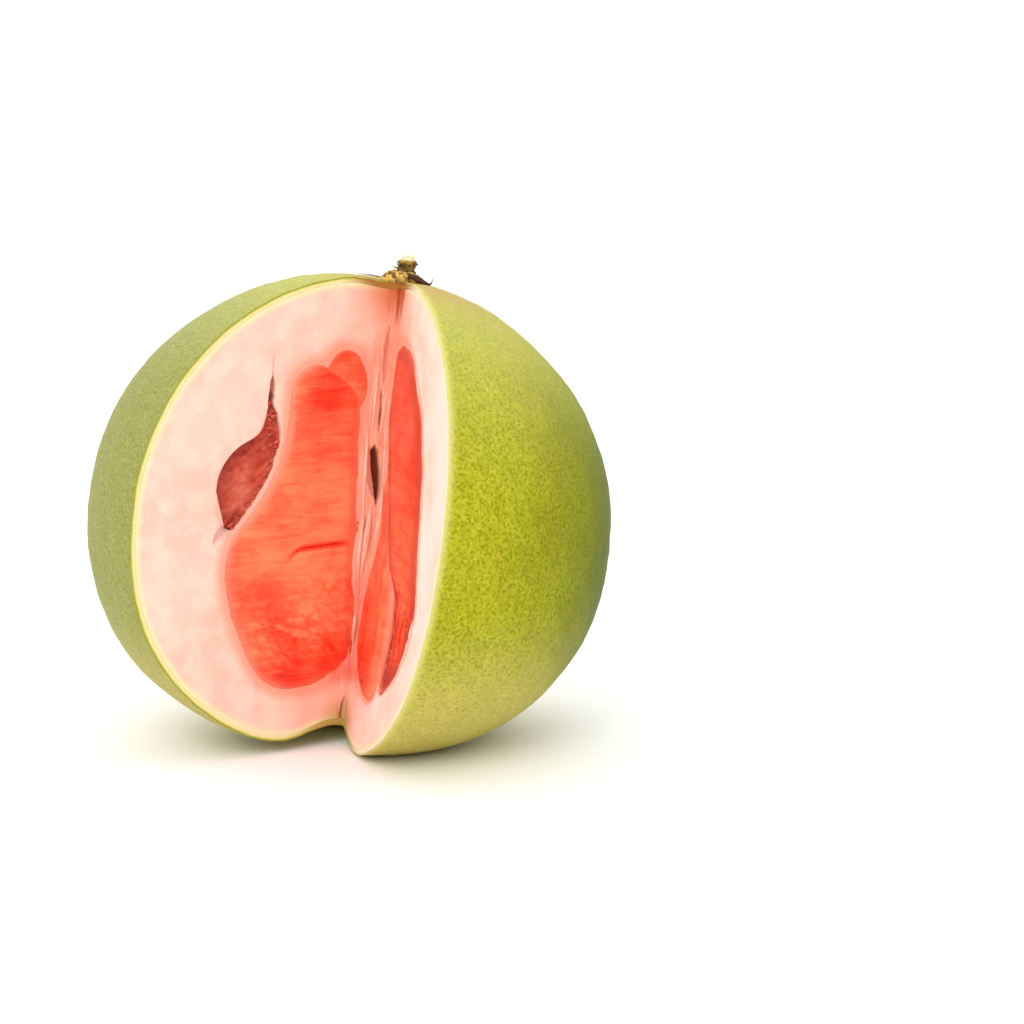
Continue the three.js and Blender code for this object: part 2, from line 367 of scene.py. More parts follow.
# Citrus rind, grown: waxy and satin, with a pit at each oil gland, so it glitters softly and never mirrors
def rindMaterial():
    material, tree = newMaterial("grown citrus rind")
    place = addNode(tree, "ShaderNodeTexCoord").outputs["Object"]
    grain = addNode(tree, "ShaderNodeTexNoise", inputs={
        "Vector": place, "Scale": 1000 / rindLook["grain"], "Detail": 1, "Roughness": 0.4}).outputs["Fac"]
    glands = addNode(tree, "ShaderNodeTexVoronoi", inputs={
        "Vector": place, "Scale": 1000 / rindLook["glandSpacing"]}).outputs["Distance"]
    uneven, broad = [
        addNode(tree, "ShaderNodeTexNoise", inputs={
            "Vector": place, "Scale": scale, "Detail": detail}).outputs["Fac"]
        for scale, detail in ((240, 2), (26, 3))]
    sides = addNode(tree, "ShaderNodeSeparateXYZ", inputs={"Vector": place})
    across, height = sides.outputs["X"], sides.outputs["Z"]
    stem = (fruitMiddle + leaning.to_3x3() @ Vector((0, 0, fruitShape["crownHeight"]))) / 1000
    crown = stem + Vector((rindLook["crownAside"] / 1000, 0, 0))
    shadeCentre = Vector((cadHigh.x, 0, rindLook["shadeHeight"] * cadHigh.z))
    foot = knifeToPlace @ Vector((0, 0, fruitShape["knifeFoot"]))
    fromStem, fromCrown, fromShadeCentre, fromFoot = [
        addNode(tree, "ShaderNodeVectorMath", {"operation": "DISTANCE"}, {0: place, 1: spot}).outputs["Value"]
        for spot in (stem, crown, shadeCentre, foot)]
    fromShadeCentre = addNode(tree, "ShaderNodeMath", {"operation": "MULTIPLY_ADD"},
                        {0: broad, 1: rindLook["shadeUneven"] / 1000, 2: fromShadeCentre}).outputs[0]
    shadeLow, shadeHigh = [reach / 1000 for reach in rindLook["shadeReach"]]
    skin = linearColour(rindLook["yellow"])
    for value, low, high, atLow, atHigh, tint in (  # places in metres, then a tint's share at low and at high
            # the rows with the left and back side's tint paint sheen and shade: a greyer, slightly darker
            # green there
            (broad, 0.4, 0.65, 0.0, 0.6, "green"), (across, -0.05, 0.01, 1.0, 0.0, "sheenAndShade"),
            # the two height rows with low paint light bounced from the floor onto the lower skin
            (height, 0.01, 0.05, 0.4, 0.0, "low"), (grain, 0.34, 0.47, 0.7, 0.0, "pit"),
            (grain, 0.5, 0.72, 0.0, 0.38, "crest"), (glands, 0.1, 0.34, 0.3, 0.0, "pit"),
            (uneven, 0.35, 0.6, 0.2, 0.0, "pit"), (across, -0.05, 0.01, 0.28, 0.0, "sheenAndShade"),
            (height, 0.01, 0.05, 0.36, 0.0, "low"),
            # painted shade: a deep green over the right side, fading away from its centre
            (fromShadeCentre, shadeLow, shadeHigh, 0.85, 0.0, "shadeGreen"),
            # pale over the crown is painted sheen
            (fromCrown, 0.02, 0.09, 0.32, 0.0, "pale"), (fromCrown, 0.006, 0.038, 0.8, 0.0, "golden")):
        share = addNode(tree, "ShaderNodeMapRange", {"interpolation_type": "SMOOTHSTEP"}, {
            "Value": value, "From Min": low, "From Max": high,
            "To Min": atLow, "To Max": atHigh}).outputs["Result"]
        skin = addNode(tree, "ShaderNodeMix", {"data_type": "RGBA"},
                       {0: share, 6: skin, 7: linearColour(rindLook[tint])}).outputs[2]
    depth, whiteRim, besideCut = [
        addNode(tree, "ShaderNodeAttribute", {"attribute_name": name}).outputs["Fac"]
        for name in ("rindDepth", "whiteRim", "besideCut")]
    skin = addNode(tree, "ShaderNodeMix", {"data_type": "RGBA"},
                   {0: besideCut, 6: skin, 7: linearColour(rindLook["edgeBand"])}).outputs[2]
    edge = addNode(tree, "ShaderNodeValToRGB", {"stops": [
        (0.0, rindLook["edgeLine"]), (0.2, rindLook["edgeLine"]), (0.42, rindLook["edgeBand"]),
        (1.0, rindLook["edgePale"])]}, {"Fac": depth}).outputs["Color"]
    edge = addNode(tree, "ShaderNodeMix", {"data_type": "RGBA"},
                   {0: whiteRim, 6: edge, 7: linearColour(rindLook["edgeWhite"])}).outputs[2]
    for distance, reach, tint in ((fromStem, 0.017, "dryEdge"), (fromFoot, 0.022, "tanEdge")):
        dry = addNode(tree, "ShaderNodeMapRange", {"interpolation_type": "SMOOTHSTEP"}, {
            "Value": distance, "From Min": 0.005, "From Max": reach, "To Min": 0.95, "To Max": 0.0})
        edge = addNode(tree, "ShaderNodeMix", {"data_type": "RGBA"}, {
            0: dry.outputs["Result"], 6: edge, 7: linearColour(rindLook[tint])}).outputs[2]
    isCut = addNode(tree, "ShaderNodeMath", {"operation": "GREATER_THAN"}, {0: depth, 1: 0.004}).outputs[0]
    colour = addNode(tree, "ShaderNodeMix", {"data_type": "RGBA"}, {0: isCut, 6: skin, 7: edge}).outputs[2]
    relief = addNode(tree, "ShaderNodeMath", {"operation": "MULTIPLY_ADD"},
                     {0: glands, 1: 0.4, 2: grain}).outputs[0]
    bump = addNode(tree, "ShaderNodeBump", inputs={"Strength": 0.6, "Distance": 0.0004, "Height": relief})
    finishMaterial(tree, {
        "Base Color": colour, "Roughness": 0.5, "IOR": 1.45, "Normal": bump.outputs["Normal"],
        "Subsurface Weight": 0.06, "Subsurface Radius": (0.003, 0.002, 0.0006), "Subsurface Scale": 1.0,
        "Specular IOR Level": 0.06})
    return material


# Where the pulp shows: rows of height, inner side and outer side, mm from the knife line
leftPulpRows = [
    (43.8, 23.5, 23.5), (42.4, 18, 27.5), (39.3, 12.4, 31), (35.6, 8.6, 32.6), (29, 7.7, 32.4),
    (21.5, 7, 32.2), (13.5, 6.3, 33.6), (6, 5.9, 36.6), (-1, 5, 40.8), (-8, 4.5, 45.4), (-16.6, 2.9, 46.5),
    (-24, 0.9, 44.5), (-31, 0.8, 41.5), (-37.5, 0.8, 37.6), (-42.4, 3.4, 34.2), (-46.4, 8.4, 29.8),
    (-48.7, 14.4, 25), (-49.3, 20, 20),
]
leftBackRows = [
    (48.9, 15.5, 15.5), (48, 11.8, 18.6), (45, 9.6, 21.3), (40.8, 7.5, 22.5), (36.8, 6.9, 20), (33, 7.5, 14),
    (31, 9, 9),
]
rightOuterRows = [
    (52, 7, 7), (51, 2.5, 14.5), (48, 0.9, 20), (44, 0.7, 24.4), (36, 0.8, 32.6), (29, 1.4, 38),
    (22, 4.2, 42), (15, 7, 44.8), (7, 11.5, 47), (0, 15, 48.8), (-8, 20, 50.8), (-15, 25, 53.2),
    (-21, 28, 53.9), (-27, 29, 52), (-33, 29, 48.6), (-38, 27.6, 44), (-42, 27.8, 37.5),
    (-44.6, 29.8, 29.8),
]
rightInnerRows = [
    (17, 9.5, 9.5), (12, 8, 13.6), (7, 7.6, 16.4), (0, 8.2, 20.2), (-5, 7.6, 22.8), (-10, 5.2, 25.6),
    (-17, 3.2, 29.8), (-25, 1.6, 31.2), (-32, 1.2, 31), (-38, 2.8, 29.2), (-43.4, 6.6, 28.2), (-47, 12.5, 25),
    (-48.8, 19, 19),
]
hollowRows = [
    (34, 38.4, 38.4), (30, 36.4, 39.6), (26.5, 34.8, 39.8), (23, 33, 41.2), (20, 32.8, 44.4),
    (16, 33.6, 49.2), (12, 34.6, 52.2), (8, 35.2, 53.2), (3, 38.2, 52.8), (-1, 40.6, 53), (-4, 42.8, 50),
    (-6.2, 46, 46),
]


# Pith: the thick albedo, its core and the hollows that the wedge laid open in both cut faces
pithLook = {
    "rings": 64, "hollowRings": 12, "knifeCuts": 239,
    "leftHollow": [(38.4, 34), (36.8, 30.4), (34.6, 26.6), (33.3, 22), (34.2, 16), (35.5, 10), (39.5, 2.4),
                   (43.4, -3.6), (45.6, -5.8), (49, -4), (51.6, -1.2), (52.6, 0.4), (51.6, 3.2), (52.6, 7),
                   (51.3, 12.2), (48.6, 16), (45.6, 18.6), (42.4, 20.6), (40.4, 22.8), (39.4, 26.6),
                   (39.2, 31)],
    "leftCentre": (41, 8), "leftDepth": 11,
    "rightHollow": [(26.2, -24), (27.4, -38), (30, -45), (36.5, -42.4), (44, -37), (49, -30), (52.4, -22),
                    (52.6, -14), (46, -9), (34, -9), (24.5, -8)],
    "rightCentre": (38, -24), "rightDepth": 8,
    "undulation": 0.22, "undulationSpan": 9, "sponge": 0.07, "spongeSpan": 1.7,  # mm
    "fibre": 0.22, "fibreSpans": (0.8, 14),  # mm high, beside the core, then across and along
    "peach": "#f6c9b8", "white": "#f4e0d4", "rosy": "#f6b8a2", "cream": "#fbdac8", "blush": "#f89478",
    "core": "#ec8a68", "coreLight": "#fccab4", "nearRim": "#f2e6ae", "bruise": "#cc6a3c", "tan": "#cc9a5c",
    "pithFibres": (900, 900, 45), "coreFibres": (900, 900, 40),  # fibres to a metre, each way
    "hollow": "#a83a28", "slit": "#a0482e", "deepSlit": "#6a2c1a", "juice": "#e6402a",
}
# Splits in the left face, beside the knife line and at both ends of its hollow.
# Each holds height, side and half width down its length, then its depth and darkness; the darkness is painted
# shade, over a brownish red.
splits = [
    ([(22.2, 2.7, 0.3), (20.4, 2.6, 1.5), (15, 1.7, 1.7), (11, 1.1, 1.2), (8, 0.8, 0.9), (5.4, 0.7, 0.2)],
     1.8, 1.0),
    ([(21.6, 4.2, 0.3), (17, 3.8, 2.1), (12, 2.9, 2.0), (7.4, 2.2, 0.3)], 0.1, 0.42),
    ([(37.8, 2.5, 0.1), (33, 2.0, 0.5), (29, 1.8, 0.5), (26.3, 1.8, 0.1)], 2.0, 0.7),
    ([(56, 2.9, 0.3), (50, 2.7, 1.1), (44, 2.5, 0.9), (40, 2.1, 0.3)], 0.4, 0.4),
    ([(69, 1.1, 0.9), (64, 0.8, 0.8), (58, 0.6, 0.2)], 0.5, 0.35),
    ([(2, 3.2, 0.1), (-1, 2.9, 0.5), (-6, 3.0, 0.3), (-8, 2.8, 0.1)], 0.4, 0.3),
    ([(-5, 1.3, 0.1), (-8, 0.9, 0.35), (-10, 0.8, 0.1)], 0.3, 0.25),
    ([(-9, 2.9, 0.1), (-12, 2.6, 0.4), (-14, 2.4, 0.1)], 0.4, 0.3),
    ([(-34.4, 1.0, 0.1), (-36, 0.9, 0.3), (-38, 0.9, 0.1)], 0.5, 0.4),
    ([(-50, 1.0, 0.1), (-52, 1.2, 0.4), (-54, 1.2, 0.3), (-59, 1.1, 0.5)], 1.4, 0.55),
    ([(44, 39.4, 0.1), (41, 39.1, 0.25), (37.6, 38.8, 0.3), (36, 38.7, 0.3)], 0.4, 0.35),
    ([(38.2, 38.9, 0.3), (36.4, 38.7, 0.9), (30, 38.3, 1.2)], 0.8, 0.85),
    ([(-3.4, 47.2, 0.9), (-5.6, 48.4, 1.8), (-7.6, 49.4, 1.6), (-9.8, 50.8, 0.4)], 0.4, 0.45),
]


def inSplit(side, height):  # how deep, and how dark
    deepest, darkest = 0.0, 0.0
    for path, depth, dark in splits:
        if path[-1][0] < height < path[0][0]:
            heights = [row[0] for row in reversed(path)]
            centre = float(numpy.interp(height, heights, [row[1] for row in reversed(path)]))
            half = float(numpy.interp(height, heights, [row[2] for row in reversed(path)]))
            near = max(0.0, 1 - ((side - centre) / half) ** 2)
            deepest = max(deepest, depth * near)
            darkest = max(darkest, dark * min(1.0, 2 * near))
    return deepest, darkest


def outlinePlace(points, centre):  # places spread evenly along a closed outline, from the knife line's side
    loop = [points[-1]] + points + points[:2]
    count = 20 * len(points)
    curve = [smoothRow(loop, (1 + len(points) * step / count) / (len(loop) - 1)) for step in range(count)]
    turns = [math.atan2(height - centre[1], side - centre[0]) for side, height in curve]
    first = turns.index(min(turns))
    curve = curve[first:] + curve[:first + 1]
    lengths = numpy.cumsum([0] + [math.dist(*pair) for pair in zip(curve, curve[1:])])
    sides, heights = zip(*curve)
    return lambda share: [float(numpy.interp(share * lengths[-1], lengths, row)) for row in (sides, heights)]


def fillCut(bm, face, knifeEdges, outline, centre, depth):  # fills one cut face, down into its hollow
    sideLayer = bm.verts.layers.float["loopSide"]
    heightLayer = bm.verts.layers.float["loopHeight"]
    shareLayer = bm.verts.layers.float["loopShare"]
    hollowLayer = bm.verts.layers.float["inHollow"]
    splitLayer = bm.verts.layers.float["inSplit"]
    rim = []
    for edge in bm.edges:
        sides, _, rises = zip(*[face.read(vertex.co) for vertex in edge.verts])
        if edge.is_boundary and max(map(abs, rises)) < 0.01 and min(sides) > -0.01 and max(sides) > 0.01:
            rim.append(edge)
    ring = list({v for edge in rim + knifeEdges for v in edge.verts})
    for vertex in ring:
        vertex[sideLayer], vertex[heightLayer], _ = face.read(vertex.co)
    ring.sort(key=lambda v: math.atan2(v[heightLayer] - centre[1], v[sideLayer] - centre[0]))
    for index, vertex in enumerate(ring):
        vertex[shareLayer] = index / len(ring)
    placeOn = outlinePlace(outline, centre)

    def target(vertex, scale):
        side, height = placeOn(vertex[shareLayer])
        return centre[0] + (side - centre[0]) * scale, centre[1] + (height - centre[1]) * scale

    def onFace(vertex, share):
        side, height = vertex[sideLayer], vertex[heightLayer]
        hollowSide, hollowHeight = target(vertex, 1)
        share **= 1.4
        side += (hollowSide - side) * share
        height += (hollowHeight - height) * share
        place = face.spot(side, height)
        rise = pithLook["undulation"] * waves(*(place / pithLook["undulationSpan"]))
        rise += pithLook["sponge"] * waves(*(place / pithLook["spongeSpan"]), 2)
        rise *= min(1.0, 8 * share) * smoothStep(0, 1.5, side)
        across, along = pithLook["fibreSpans"]
        fibres = pithLook["fibre"] * waves(side / across, height / along, face.azimuth)
        rise += fibres * smoothStep(9, 5, side) * smoothStep(0, 0.8, side)
        if face is leftFace:
            split, vertex[splitLayer] = inSplit(side, height)
            rise -= split
        return face.spot(side, height, rise)

    def intoHollow(vertex, share):
        turn = share * math.pi / 2
        side, height = target(vertex, math.cos(turn))
        vertex[hollowLayer] = smoothStep(0, 0.25, share)
        return face.spot(side, height, -depth * math.sin(turn))

    loop = growRings(bm, rim + knifeEdges, pithLook["rings"], onFace)
    growRings(bm, loop, pithLook["hollowRings"], intoHollow)


def makePith(material):
    bm = skinSector(24, rindLook["meridianSteps"])
    for vertex in bm.verts:
        vertex.co = underSkin(vertex.co.normalized(), fruitShape["rindThickness"])
    poles = [vertex for vertex in bm.verts if vertex.co.xy.length < 0.001]
    knife = bm.edges.new(poles)
    bmesh.ops.subdivide_edges(bm, edges=[knife], cuts=pithLook["knifeCuts"])
    knifeEdges = [edge for edge in bm.edges if all(v.co.xy.length < 0.001 for v in edge.verts)]
    for name in ("loopSide", "loopHeight", "loopShare", "inHollow", "inSplit"):
        bm.verts.layers.float.new(name)
    for face, which in ((leftFace, "left"), (rightFace, "right")):
        fillCut(bm, face, knifeEdges, *[pithLook[which + part] for part in ("Hollow", "Centre", "Depth")])
    bmesh.ops.remove_doubles(bm, verts=bm.verts, dist=1e-3)
    for name in ("loopSide", "loopHeight", "loopShare"):
        bm.verts.layers.float.remove(bm.verts.layers.float[name])
    paintPith(bm)
    finishPiece(bm, "pith_and_core", "fruit", material)


# What the pith's colours follow, in millimetres or as a share
pithPaint = ("fromSkin", "fromPulp", "fromStem", "fromFoot", "fromKnife", "inCore", "rightSide", "juicy")


def paintPith(bm):
    pulp = nearestIn(lobeOutline(leftFace, leftPulpRows) + lobeOutline(leftFace, leftBackRows)
                     + lobeOutline(rightFace, rightOuterRows) + lobeOutline(rightFace, rightInnerRows))
    fromSkin, fromPulp, fromStem, fromFoot, fromKnife, inCore, rightSide, juicy = [
        bm.verts.layers.float.new(name) for name in pithPaint]
    for vertex in bm.verts:
        place = vertex.co
        side, height, rise = rightFace.read(place)
        reach = place.xy.length
        right = smoothStep(0, 3.5, side) if abs(rise) < 2.5 else 0.0
        outer = right * smoothStep(8, 16, side)
        vertex[fromSkin] = underSkin(place.normalized()).length - place.length + 0.5 * right
        vertex[fromPulp] = pulp.find(place)[2] * (1 + 1.5 * outer)
        vertex[fromStem] = (place - Vector((0, 0, fruitShape["knifeTop"]))).length + 9 * right
        vertex[fromFoot] = (place - Vector((0, 0, fruitShape["knifeFoot"]))).length
        vertex[fromKnife] = reach * (1 + 0.9 * outer)
        ragged = 1.2 * waves(reach / 3, height / 9, side / 9)
        along = smoothStep(62, 42, height) * smoothStep(-52, -36, height)
        vertex[inCore] = smoothStep(9.5, 5.5, reach + ragged) * along
        vertex[rightSide] = right
        vertex[juicy] = juiceRun(reach, height)


# Citrus albedo, cut with a knife: matt, faintly spongy and slightly translucent, like damp bread
def pithMaterial():
    material, tree = newMaterial("knife-cut albedo")
    place = addNode(tree, "ShaderNodeTexCoord").outputs["Object"]
    upright = addNode(tree, "ShaderNodeMapping", inputs={
        "Vector": place, "Scale": pithLook["pithFibres"]}).outputs["Vector"]
    parts = {}
    for name, vector, scale, detail in (
            ("mottle", place, 150, 4), ("blotch", place, 48, 3), ("fibres", upright, 1, 3)):
        parts[name] = addNode(tree, "ShaderNodeTexNoise", inputs={
            "Vector": vector, "Scale": scale, "Detail": detail}).outputs["Fac"]
    for name in (*pithPaint, "inHollow", "inSplit"):
        parts[name] = addNode(tree, "ShaderNodeAttribute", {"attribute_name": name}).outputs["Fac"]
    colour = linearColour(pithLook["peach"])
    for name, low, high, atLow, atHigh, tint in (
            # rightSide to white is painted light: the right cut face's pith whiter, as that face turns to the
            # light
            ("rightSide", 0, 1, 0, 1, "white"), ("blotch", 0.4, 0.7, 0, 0.6, "rosy"),
            ("mottle", 0.36, 0.68, 0, 0.6, "cream"), ("fromKnife", 2, 30, 0.44, 0, "blush"),
            ("fromPulp", 0.3, 4, 0.7, 0, "blush"), ("fromSkin", 1.7, 4, 0.9, 0, "nearRim"),
            ("fromStem", 3, 19, 1, 0, "bruise"), ("fromFoot", 1, 10, 0.9, 0, "tan"),
            # inHollow: the hollow's walls take the pulp's red, darkened as painted shade in the recess
            ("inHollow", 0, 1, 0, 1, "hollow"), ("inCore", 0, 1, 0, 1, "core"),
            ("juicy", 0, 1, 0, 0.85, "juice")):
        share = addNode(tree, "ShaderNodeMapRange", {"interpolation_type": "SMOOTHSTEP"}, {
            "Value": parts[name], "From Min": low, "From Max": high,
            "To Min": atLow, "To Max": atHigh}).outputs["Result"]
        colour = addNode(tree, "ShaderNodeMix", {"data_type": "RGBA"},
                         {0: share, 6: colour, 7: linearColour(pithLook[tint])}).outputs[2]
    streaks = addNode(tree, "ShaderNodeMath", {"operation": "MULTIPLY"},
                      {0: parts["fibres"], 1: parts["inCore"]})
    colour = addNode(tree, "ShaderNodeMix", {"data_type": "RGBA"}, {
        0: streaks.outputs[0], 6: colour, 7: linearColour(pithLook["coreLight"])}).outputs[2]
    # splits: a brownish red, darkened as painted shade towards their deepest part
    slit = addNode(tree, "ShaderNodeValToRGB", {
        "stops": [(0.8, pithLook["slit"]), (1.0, pithLook["deepSlit"])]},
        {"Fac": parts["inSplit"]}).outputs["Color"]
    colour = addNode(tree, "ShaderNodeMix", {"data_type": "RGBA"},
                     {0: parts["inSplit"], 6: colour, 7: slit}).outputs[2]
    grain = addNode(tree, "ShaderNodeMath", {"operation": "MULTIPLY_ADD"},
                    {0: parts["fibres"], 1: 0.4, 2: parts["mottle"]}).outputs[0]
    bump = addNode(tree, "ShaderNodeBump", inputs={"Strength": 0.3, "Distance": 0.0003, "Height": grain})
    finishMaterial(tree, {
        "Base Color": colour, "Roughness": 0.72, "IOR": 1.4, "Normal": bump.outputs["Normal"],
        "Subsurface Weight": 0.2, "Subsurface Radius": (0.003, 0.0015, 0.001), "Subsurface Scale": 1.0,
        "Specular IOR Level": 0.25})
    return material


# Pulp: segments of juice sacs under a thin membrane. Each relief gives a rise in mm and a deeper colour.
def leftRelief(side, height):
    streak = 0.14 * waves(side / 12, height / 0.9, 2.0, 2)
    swell = 0.5 * waves(side / 22, height / 22, 5.0, 2)
    creaseHeight = -5.8 - 0.2 * (side - 7) - 0.28 * max(0.0, side - 22) ** 1.4
    crease = math.exp(-((height - creaseHeight) / 0.75) ** 2)
    crease *= smoothStep(6, 11, side) * smoothStep(27.5, 24, side)
    crinkled = math.exp(-((side - 23) / 12) ** 2 - ((height + 33) / 9) ** 2)
    crinkled += 0.7 * math.exp(-((side - 14) / 9) ** 2 - ((height + 21) / 8) ** 2)
    ridges = abs(waves(side / 5 + height / 9, height / 3 - side / 12, 9.0, 3))
    strokes = waves((side + height) / 9, (height - 0.8 * side) / 2.2, 3.0, 2)
    strokes *= smoothStep(24, 8, side) * smoothStep(-14, -26, height)
    # the crease's deeper colour is painted shade in the groove
    return (streak + swell - 1.1 * crease + crinkled * (0.9 * ridges - 0.2) + 0.2 * strokes,
            1.1 * crease + crinkled * (0.3 - 1.2 * ridges) + 0.25 * strokes)


def backRelief(side, height):
    return 0.2 * waves(side / 9, height / 6, 1.0, 2), 0.0


def creviceSide(height):  # where the two lobes of the right face part
    return float(numpy.interp(height, [-44, -38, -33, -24, -16.6, -8, 0, 8, 15],
                              [29, 29, 31, 31.3, 29.9, 24.4, 20.1, 16.2, 12]))


def rightRelief(side, height):
    rough = smoothStep(-9, -19, height)
    streak = 0.12 * waves(side / 8, height / 1.6, 4.0, 2)
    strands = waves(side / 2.2, height / 6, 7.0, 3)
    crevice = math.exp(-((side - creviceSide(height) - 0.8) / 1.3) ** 2)
    foot = smoothStep(-36, -42, height)
    # the crevice's deeper colour is painted shade, and so is the darker colour towards the foot
    return (streak - 1.3 * rough * smoothStep(58, 42, side) + rough * 0.45 * strands - 0.9 * rough * crevice,
            rough * (0.75 * strands + 0.9 * crevice - 0.1) + 0.5 * foot)


def innerRelief(side, height):
    ridgeSide = creviceSide(height) - 3.4 - 1.4 * smoothStep(-12, -20, height)
    ridge = math.exp(-((side - ridgeSide) / 3.2) ** 2)
    strands = waves(side / 1.8, height / 12, 3.0, 2)
    return 0.8 * ridge + 0.12 * strands, 0.2 * strands - 0.22 * ridge * smoothStep(2, -16, height)


def hollowRelief(side, height):
    stripes = waves((side - height) / 7, (side + height) / 1.6, 8.0, 2)
    lumps = waves(side / 3.2, height / 3.2, 2.0, 2)
    return 0.2 * stripes + 0.35 * lumps - 2.0 * smoothStep(36, 52, side), 0.25 * stripes + 0.3 * lumps


# Each edging gives how dark a lobe's edge is, as painted shade where the pulp dips under the pith, how far it
# pales, and how softly it meets the pith
def leftEdging(height, fromInner, fromEdge):
    inner = smoothStep(7, 3, fromInner)
    core = inner * smoothStep(-24, -13, height) * smoothStep(4, 0.3, fromInner)
    membrane = (1 - inner) * smoothStep(-12, -7, height) * smoothStep(32, 27, height)
    return (0.3 * (1 - inner) * smoothStep(-9, -18, height) * smoothStep(-46, -38, height),
            max(core, membrane * smoothStep(2.4, 1.2, fromEdge)), inner)


def backEdging(height, fromInner, fromEdge):
    return 0.2, 0.6 * smoothStep(1.5, 0.4, fromEdge), 0.0


def rightEdging(height, fromInner, fromEdge):
    inner = smoothStep(5, 2, fromInner)
    return ((1 - inner) * (0.6 + 0.2 * smoothStep(-4, -22, height)),
            inner * smoothStep(2.2, 0.3, fromInner) * smoothStep(4, 12, height), inner)


def innerEdging(height, fromInner, fromEdge):
    inner = smoothStep(6, 2, fromInner)
    return (0.5 * (1 - inner) * smoothStep(-12, -2, height),
            0.8 * inner * smoothStep(5, 0.5, fromInner) * smoothStep(-31, -22, height), inner)


def hollowEdging(height, fromInner, fromEdge):
    return 0.5, 0.0, 0.0


pulpLobes = {
    "left_pulp": {
        "face": leftFace, "rows": leftPulpRows, "rise": 1.1, "sink": 0.7, "rounding": 3.2,
        "outline": 1.3, "across": 64, "along": 220, "relief": leftRelief, "edging": leftEdging,
        "juice": 0.22,
        "spots": [(19, 39, 10, 0.75), (22, 28, 12, 0.2), (21, -47, 10, 0.72), (9, -37, 8, 0.45),
                  (44, -22, 9, 0.42), (32, -33, 10, 0.25), (8, 8, 9, -0.2), (3.4, -18, 2.6, 0.8),
                  (2, -36, 5, 0.3), (31, -44, 2.5, 0.5)],
    },
    "left_pulp_behind": {
        "face": leftFace, "rows": leftBackRows, "rise": 0.3, "sink": 0.7, "rounding": 2.5,
        "outline": 1.3, "across": 32, "along": 64, "relief": backRelief, "edging": backEdging,
        "juice": 0.6,
        "spots": [(10, 36, 5, -0.3), (16, 48, 4, 0.3)],
    },
    "right_pulp": {
        "face": rightFace, "rows": rightOuterRows, "rise": 0.4, "sink": 0.9, "rounding": 3, "outline": 9,
        "across": 64, "along": 210, "relief": rightRelief, "edging": rightEdging, "juice": 0.6,
        "spots": [(38, 26, 8, 0.4), (42, 14, 8, 0.4), (26, 38, 8, 0.3), (12, 46, 8, 0.35),
                  (10, 8, 6, 0.2), (46, -24, 10, 0.45), (35, -38, 9, 0.55)],
    },
    "right_pulp_inner": {
        "face": rightFace, "rows": rightInnerRows, "rise": 0.7, "sink": 0.7, "rounding": 3, "outline": 4,
        "across": 48, "along": 140, "relief": innerRelief, "edging": innerEdging, "juice": 0.5,
        "spots": [(9, -36, 12, 0.42), (12, -46, 7, 0.2), (12, 4, 9, -0.2)],
    },
    # the hollow's pulp is painted darker as shade in the recess: a higher juice share, its spots and the
    # dusky tints
    "hollow_pulp": {
        "face": leftFace, "rows": hollowRows, "rise": -1.2, "sink": 4.5, "rounding": 1.6, "outline": 1.3,
        "across": 44, "along": 160, "relief": hollowRelief, "edging": hollowEdging, "juice": 0.74,
        "spots": [(41, 7, 5, -0.34), (49, 14, 5, 0.4), (38, 28, 4, 0.4), (46, -2, 4, -0.1),
                  (44, 18, 4, 0.3)],
    },
}
pulpLook = {
    "wet": ["#f88e62", "#f96645", "#f83a24", "#b42c1c"],
    # the dusky tints: bared pulp, darkened as painted shade for the recessed hollow
    "shadedDusky": ["#d26e54", "#c04c36", "#a2301e", "#5c140a"],
    "bared": ["#ee7c5c", "#e05c44", "#c03a28", "#7c2418"],
    "longStreaks": (60, 60, 620), "shortStreaks": (260, 260, 480),  # streaks to a metre, each way
    "outline": "#a04236", "membrane": "#f28468", "softEdge": 2.2,  # mm over which a lobe's edge pales
    "bloom": 0.75, "stain": 0.85,  # how far it pales, and how much of that the run juice hides
}


